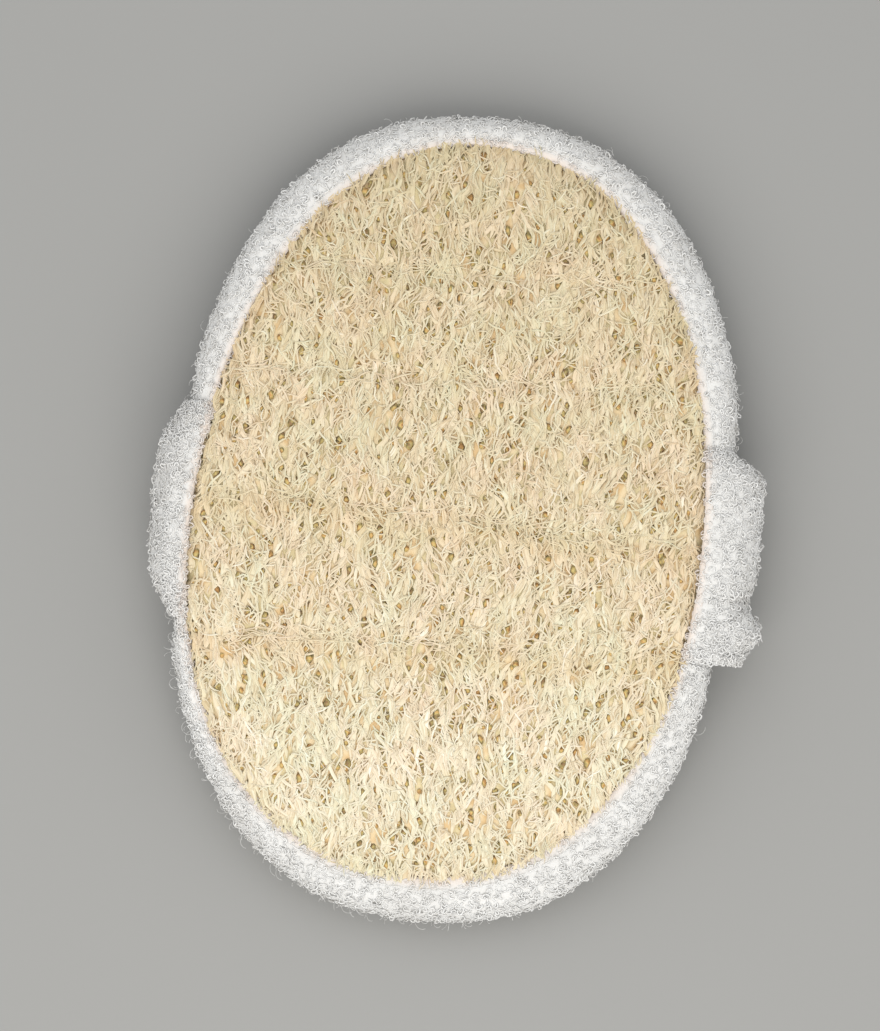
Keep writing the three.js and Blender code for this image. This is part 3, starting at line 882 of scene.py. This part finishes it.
def strap_side(side, y, steps):
    """The strap's middle line on one side, from the seam to the middle of its flat
    stretch: X and Z, the direction, and the thickness, at each Y."""
    seam, outer = seam_x(side, y), outline_x(side, y)
    bulge = outer + side * (strap_bulge(side, y) - STRAP_THICKNESS / 2)

    def places(x, z):
        return np.stack([x + 0 * y, z + 0 * y], -1)
    over, over_way = curve_through(
        places(seam + side * STRAP_SEAM_INSET, BINDING_TOP + 0.5 * STRAP_THICKNESS),
        places(seam + 0.7 * (outer - seam), BINDING_TOP + 1.1 * STRAP_THICKNESS),
        places(bulge, 0.9 * BINDING_TOP),
        places(bulge, STRAP_WIDEST),
        steps,
    )
    over[..., 1] += MIDDLE_HEIGHT - sag(over[..., 0], y)
    # The end follows the binding down to its sewn edge, and sinks into its pile.
    out = np.abs(over[..., 0] - seam) / (LIP_SHARE * np.abs(outer - seam))
    beside = np.abs((y - STRAP_CENTRE_Y) / (STRAP_WIDTH / 2))
    sunk = STRAP_SINK * (1 + beside ** 8) * (1 - smoothstep(out, 1, 1 / LIP_SHARE))
    drop = BINDING_TOP - FLANGE_TOP - LIP_HEIGHT - 0.9
    over[..., 1] -= drop * (1 - lip_rise(out)) + sunk
    ground = STRAP_THICKNESS / 2
    under, under_way = curve_through(
        places(bulge, MIDDLE_HEIGHT + STRAP_WIDEST - sag(bulge, y)),
        places(bulge, 0.45 * MIDDLE_HEIGHT),
        places(side * (STRAP_FLAT_HALF + STRAP_SWEEP), ground),
        places(side * STRAP_FLAT_HALF, ground),
        steps,
    )
    share = np.linspace(0, 1, steps)[:, None] + 0 * y
    thickness = STRAP_END_THICKNESS + (STRAP_THICKNESS - STRAP_END_THICKNESS) * share
    line = np.concatenate([over[:-1], under])
    way = np.concatenate([over_way[:-1], under_way])
    thickness = np.concatenate([thickness[:-1], 0 * share + STRAP_THICKNESS])
    return line, way, thickness


def strap_grids(steps, columns):
    """The strap's ground cloth as two grids, its outside and its inside, along the strap
    by across it, in mm."""
    half = STRAP_WIDTH / 2 - PILE_HEIGHT / 2
    y = STRAP_CENTRE_Y + half * np.sin(np.linspace(-0.5, 0.5, columns) * np.pi)
    right, right_way, right_thick = strap_side(1, y, steps)
    left, left_way, left_thick = strap_side(-1, y, steps)
    flat = np.linspace(0, 1, 24)[1:-1, None, None]
    bottom = right[-1] * (1 - flat) + left[-1] * flat
    line = np.concatenate([right, bottom, left[::-1]])
    way = np.concatenate([right_way, np.repeat(right_way[-1:], len(bottom), 0), -left_way[::-1]])
    thick = np.concatenate([
        right_thick, np.full(bottom.shape[:2], STRAP_THICKNESS), left_thick[::-1],
    ])
    normal = np.stack([-way[..., 1], way[..., 0]], -1)
    rounded = np.sqrt(np.clip(1 - np.abs((y - STRAP_CENTRE_Y) / half) ** 14, 0, 1))
    reach = np.maximum(thick / 2 - PILE_HEIGHT, 0.25) * np.maximum(rounded, 0.3)
    grids = []
    for sign in (1, -1):
        p = line + sign * normal * reach[..., None]
        grids.append(np.stack([p[..., 0], y + 0 * p[..., 0], p[..., 1]], -1))
    return grids


def hand_strap():
    """The strap round the back. Returns its outside and inside grids for the pile."""
    outside, inside = strap_grids(26, 34)
    x, y, z = np.moveaxis(outside, -1, 0)
    lumps = soft_noise(x + z, y, 5, 5, 71)
    # The fold that runs in from the pinched edge on the right.
    fold_depth, fold_y, fold_width = 0.9, -12, 1.6
    over_edge = smoothstep(x, 50, 60) * smoothstep(z, 12, 18)
    fold = fold_depth * bell(y - fold_y, fold_width) * over_edge
    above_ground = smoothstep(z, 1, 4)
    press = (0.25 * lumps - fold) * above_ground
    normals = grid_normals(outside)
    outside = outside + normals * press[..., None]
    inside = inside + normals * press[..., None]
    section = np.concatenate([outside, inside[:, ::-1]], 1)
    rows, columns = section.shape[:2]
    walls = grid_faces(rows, columns)
    # Each end is closed by a strip between the outside's edge and the inside's.
    j = np.arange(columns // 2 - 1)
    back = columns - 1 - j
    first = np.stack([j, j + 1, back - 1, back], -1)
    last = first[:, ::-1] + (rows - 1) * columns
    points = section.reshape(-1, 3)
    faces = [walls, first, last]
    # A cream tint beside the loofah: painted light bounced from it.
    rubbed = beside_seam(points, LOOFAH_BOUNCE_REACH)
    cloth = new_piece("strap_cloth", points, faces, CLOTH, "terry", rubbed=rubbed)
    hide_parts("hand_strap")
    return cloth, outside, inside


# The terry's pile


def loops_at(name, feet, normals, seed, height=1.2, width=0.5, yarn=0.4, steps=5):
    """Terry loops at the given feet: curls of yarn, nearly closed, that lie over."""
    rng = np.random.default_rng(seed)
    count = len(feet)
    lean_to = unit(np.cross(normals, rng.normal(0, 1, (count, 3))))
    turn_to = rng.uniform(-0.9, 0.9, count)[:, None]
    across = unit(np.cross(normals, lean_to) + turn_to * lean_to)
    lean = np.radians(85 - 42 * rng.uniform(0, 1, count) ** 3)[:, None]
    upward = normals * np.cos(lean) + lean_to * np.sin(lean)
    turn = (np.linspace(-0.28, 1.28, steps + 1) * np.pi)[None, :, None]
    tall = (height * rng.uniform(0.75, 1.15, count))[:, None, None]
    wide = (width * rng.uniform(0.75, 1.25, count))[:, None, None]
    outward = unit(np.cross(upward, across))
    twist = outward * rng.uniform(-0.2, 0.2, count)[:, None]
    rise = (np.sin(turn) - np.sin(turn[:, :1])) / (1 - np.sin(turn[:, :1]))
    sink = 0.14 + 0.16 * beside_seam(feet, PRESSED_REACH)[:, None]
    paths = (
        (feet - sink * normals)[:, None, :]
        - across[:, None, :] * wide * np.cos(turn)
        + upward[:, None, :] * tall * rise
        + twist[:, None, :] * np.linspace(-1, 1, steps + 1)[None, :, None]
    )
    ups = np.repeat(outward[:, None, :], steps + 1, 1)
    widths = yarn * rng.uniform(0.8, 1.2, (count, 1)) + np.zeros((count, steps + 1))
    points, faces = strand_mesh(paths, ups, widths, 0.24)
    # Loops that the pad rests on are pressed flat.
    points[:, 2] = np.maximum(points[:, 2], 0)
    # A cream tint beside the loofah: painted light bounced from it.
    rubbed = np.repeat(beside_seam(feet, LOOFAH_BOUNCE_REACH), (steps + 1) * 3)
    return new_piece(name, points, faces, YARN, "terry", rubbed=rubbed)


def feet_on(grid, rows, columns, pitch, seed, closed_rows=False):
    """Uneven rows of feet a pitch apart over part of a grid of cloth, with normals.

    rows and columns are the part's first and last fractions of the grid.
    """
    rng = np.random.default_rng(seed)
    normals = grid_normals(grid, closed_rows=closed_rows)
    row_spans = grid.shape[0] if closed_rows else grid.shape[0] - 1
    column_spans = grid.shape[1] - 1
    length = step_lengths(grid).sum(0).mean()
    widths = step_lengths(grid, 1).sum(1) * (columns[1] - columns[0])
    n_rows = round(length * (rows[1] - rows[0]) / pitch)
    n_most = math.ceil(widths.max() / pitch)
    u, v = [a.ravel() for a in np.meshgrid(np.arange(n_rows), np.arange(n_most), indexing="ij")]
    jitter = rng.uniform(-0.3, 0.3, (2, len(u)))
    u = (rows[0] + (u + 0.5 + jitter[0]) / n_rows * (rows[1] - rows[0])) * row_spans
    # A narrower stretch of the cloth takes fewer feet across it.
    n_here = np.maximum(np.round(widths[u.astype(int) % len(widths)] / pitch), 1)
    v_share = (v + 0.5 + jitter[1]) / n_here
    v_share, u = v_share[v < n_here], u[v < n_here]
    v = (columns[0] + v_share * (columns[1] - columns[0])) * column_spans
    i = np.minimum(u.astype(int), row_spans - 1)
    j = np.minimum(v.astype(int), column_spans - 1)
    k = (i + 1) % grid.shape[0]
    fu, fv = (u - i)[:, None], (v - j)[:, None]

    def between(values):
        near = values[i, j] * (1 - fv) + values[i, j + 1] * fv
        far = values[k, j] * (1 - fv) + values[k, j + 1] * fv
        return near * (1 - fu) + far * fu
    return between(grid), unit(between(normals))


def clear_of_strap(feet, normals):
    """The feet, with their normals, that no strap end covers on the face or the edge."""
    beside = np.abs(feet[:, 1] - STRAP_CENTRE_Y) < STRAP_WIDTH / 2 - 1.5
    kept = ~(beside & (feet[:, 2] > 0.4 * MIDDLE_HEIGHT))
    return feet[kept], normals[kept]


def binding_pile(grid):
    """The binding's loops, closest on the face and widest apart on the back."""
    # The grid's columns run from the seam on the face to the seam on the back.
    side_from, back_from = 0.56, 0.76
    face = feet_on(grid, (0, 1), (0.01, side_from), FACE_PITCH, 201, closed_rows=True)
    feet, normals = clear_of_strap(*face)
    side = feet_on(grid, (0, 1), (side_from, back_from), 1.2, 202, closed_rows=True)
    back = feet_on(grid, (0, 1), (back_from, 0.99), HIDDEN_PITCH, 206, closed_rows=True)
    back = [np.concatenate(pair) for pair in zip(clear_of_strap(*side), back)]
    half = len(feet) // 2
    return [
        loops_at("binding_pile_one", feet[:half], normals[:half], 203),
        loops_at("binding_pile_two", feet[half:], normals[half:], 204),
        loops_at("binding_pile_back", *back, 205, height=1.35, width=0.56, yarn=0.42, steps=4),
    ]


def strap_pile(outside, inside):
    """The strap's loops, closest on its two ends."""
    # The grids' rows run from the right end, under the pad and to the left end. These are
    # the shares of that length at which the face no longer shows it, and where it rests.
    shown, rests = 0.18, 0.41

    def together(stretches):
        groups = [feet_on(outside, rows, (0, 1), *rest) for rows, *rest in stretches]
        return [np.concatenate(group) for group in zip(*groups)]
    ends = together([((0, shown), FACE_PITCH, 211), ((1 - shown, 1), FACE_PITCH, 212)])
    below = together([
        ((shown, rests), 1.25, 213), ((1 - rests, 1 - shown), 1.25, 218),
        ((rests, 1 - rests), HIDDEN_PITCH, 219),
    ])
    within = feet_on(inside, (shown, 1 - shown), (0.02, 0.98), 2.3, 214)
    return [
        loops_at("strap_pile_ends", *ends, 215),
        loops_at("strap_pile_below", *below, 216, height=1.3, width=0.54, yarn=0.42, steps=4),
        loops_at("strap_pile_inside", within[0], -within[1], 217, height=1.5, width=0.7,
                 yarn=0.45, steps=4),
    ]


def back_pile():
    """The back's loops, larger and fewer than the face's."""
    rng = np.random.default_rng(221)
    pitch = 1.85
    x, y = uneven_grid(rng, 54, 80, pitch, pitch, 0.42)
    shown = seam_share(x, y) < 0.99
    x, y = x[shown], y[shown]
    feet = pad_place(x, y, -JOINT_GAP - BACK_THICKNESS + PILE_HEIGHT)
    slope_x = 2 * SAG_ACROSS * x / PAD_HALF_WIDTH ** 2
    slope_y = 2 * SAG_ALONG * y / PAD_HALF_LENGTH ** 2
    normals = unit(np.stack([-slope_x, -slope_y, -np.ones_like(x)], -1))
    return loops_at("back_pile", feet, normals, 222, height=1.6, width=0.7, yarn=0.45, steps=3)


def thread_along(name, grid, column, height):
    """A row of stitches along one column of a grid of cloth, each as high as height."""
    line = grid[:, column]
    normals = grid_normals(grid, closed_rows=True)[:, column]
    run = np.concatenate([[0], np.cumsum(step_lengths(np.vstack([line, line[:1]])))])
    count = int(run[-1] / STITCH_PITCH)
    share = np.linspace(0, 1, 5)
    stitch = STITCH_LENGTH / STITCH_PITCH * share[None, :]
    at = (np.arange(count)[:, None] + stitch) * run[-1] / count
    place = np.interp(at, run, np.arange(len(run))) % len(line)
    first = place.astype(int)
    part = (place - first)[..., None]
    after = (first + 1) % len(line)
    rise = height * np.sin(np.pi * share)[None, :, None] - 0.15
    way_up = normals[first]
    paths = line[first] * (1 - part) + line[after] * part + way_up * rise
    widths = np.full(paths.shape[:2], THREAD_WIDTH)
    points, faces = strand_mesh(paths, way_up, widths, 0.8)
    return new_piece(name, points, faces, THREAD, "terry")


def lint(grid):
    """Fine cotton hairs that stand out from the binding, mostly at its lower left."""
    rng = np.random.default_rng(231)
    feet, normals = feet_on(grid, (0, 1), (0.3, 0.62), 3.2, 232, closed_rows=True)
    likely = 0.25 + 0.75 * ((feet[:, 0] < 10) & (feet[:, 1] < -20))
    kept = rng.uniform(0, 1, len(feet)) < likely
    feet, normals = feet[kept], normals[kept]
    count, steps = len(feet), 6
    across = unit(np.cross(normals, rng.normal(0, 1, (count, 3))))
    length = rng.uniform(1.6, 3.4, count)[:, None, None]
    share = np.linspace(0, 1, steps)[None, :, None]
    curl = rng.uniform(0.8, 2.6, count)[:, None, None]
    paths = (
        feet[:, None, :]
        + normals[:, None, :] * (0.4 + length * 0.5 * np.sin(share * curl))
        + across[:, None, :] * length * 0.5 * (1 - np.cos(share * curl))
    )
    ups = np.repeat(np.cross(across, normals)[:, None, :], steps, 1)
    widths = np.full((count, steps), LINT_WIDTH)
    points, faces = strand_mesh(paths, ups, widths, 0.8)
    return new_piece("binding_lint", points, faces, YARN, "terry")


# The setting


def floor():
    """A plain matt floor, far wider than the view."""
    bpy.ops.mesh.primitive_plane_add(size=12)
    plane = bpy.context.object
    plane.name = "floor"
    material, _, shader = new_finish("plain pale floor")
    set_inputs(shader, Base_Color=linear("#8e8d8a"), Roughness=0.9)
    plane.data.materials.append(material)


def area_light(name, place, size, watts, colour):
    """A round soft light at a place, aimed at the pad. Lengths are in metres."""
    bpy.ops.object.light_add(type="AREA", location=place)
    lamp = bpy.context.object
    lamp.name = name
    lamp.data.shape = "DISK"
    lamp.data.size = size
    lamp.data.energy = watts
    lamp.data.color = linear(colour)[:3]
    lamp.rotation_euler = (-Vector(place)).to_track_quat("-Z", "Y").to_euler()


def studio_light():
    area_light("key_softbox", (0.02, -0.44, 0.6), 0.8, 3.9, "#fffdf9")
    area_light("fill_softbox", (-0.2, 0.6, 1.3), 1.2, 5.2, "#fafcff")
    world = bpy.data.worlds.new("soft studio")
    bpy.context.scene.world = world
    world.use_nodes = True
    set_inputs(world.node_tree.nodes["Background"], Color=linear("#f4f6f8"), Strength=0.96)


def camera():
    """Looks straight down, turned so that the pad leans as in the photograph."""
    frame_width, frame_height = 880, 1031
    pixels_per_mm = 4.875
    pad_pixel = np.array([454.7, 519.4])
    lean = math.radians(5.27)
    distance = 1.2
    middle = np.array([frame_width, frame_height]) / 2
    off = (middle - pad_pixel) / pixels_per_mm * [1, -1]
    x, y = (PAD_CENTRE + turned(*off, lean)) * MM
    rim_height = 0.6 * MIDDLE_HEIGHT * MM
    bpy.ops.object.camera_add(location=(x, y, rim_height + distance), rotation=(0, 0, lean))
    eye = bpy.context.object
    eye.name = "camera"
    eye.data.sensor_fit = "VERTICAL"
    eye.data.sensor_height = 24
    eye.data.lens = 24 * distance / (frame_height / pixels_per_mm * MM)
    bpy.context.scene.camera = eye


bpy.ops.object.select_all(action="DESELECT")
loofah_mat()
gap_cells()
loofah_fibres()
binding, binding_outside = edge_binding()
back = terry_back()
strap, strap_outside, strap_inside = hand_strap()
binding_loops = binding_pile(binding_outside)
binding_loops.append(thread_along("face_stitches", binding_outside, column=2, height=0.1))
binding_loops.append(thread_along("back_stitches", binding_outside, column=19, height=0.3))
binding_loops.append(lint(binding_outside))
strap_loops = strap_pile(strap_outside, strap_inside)
back_loops = back_pile()

floor()
studio_light()
camera()
bpy.context.scene.view_settings.view_transform = "Standard"
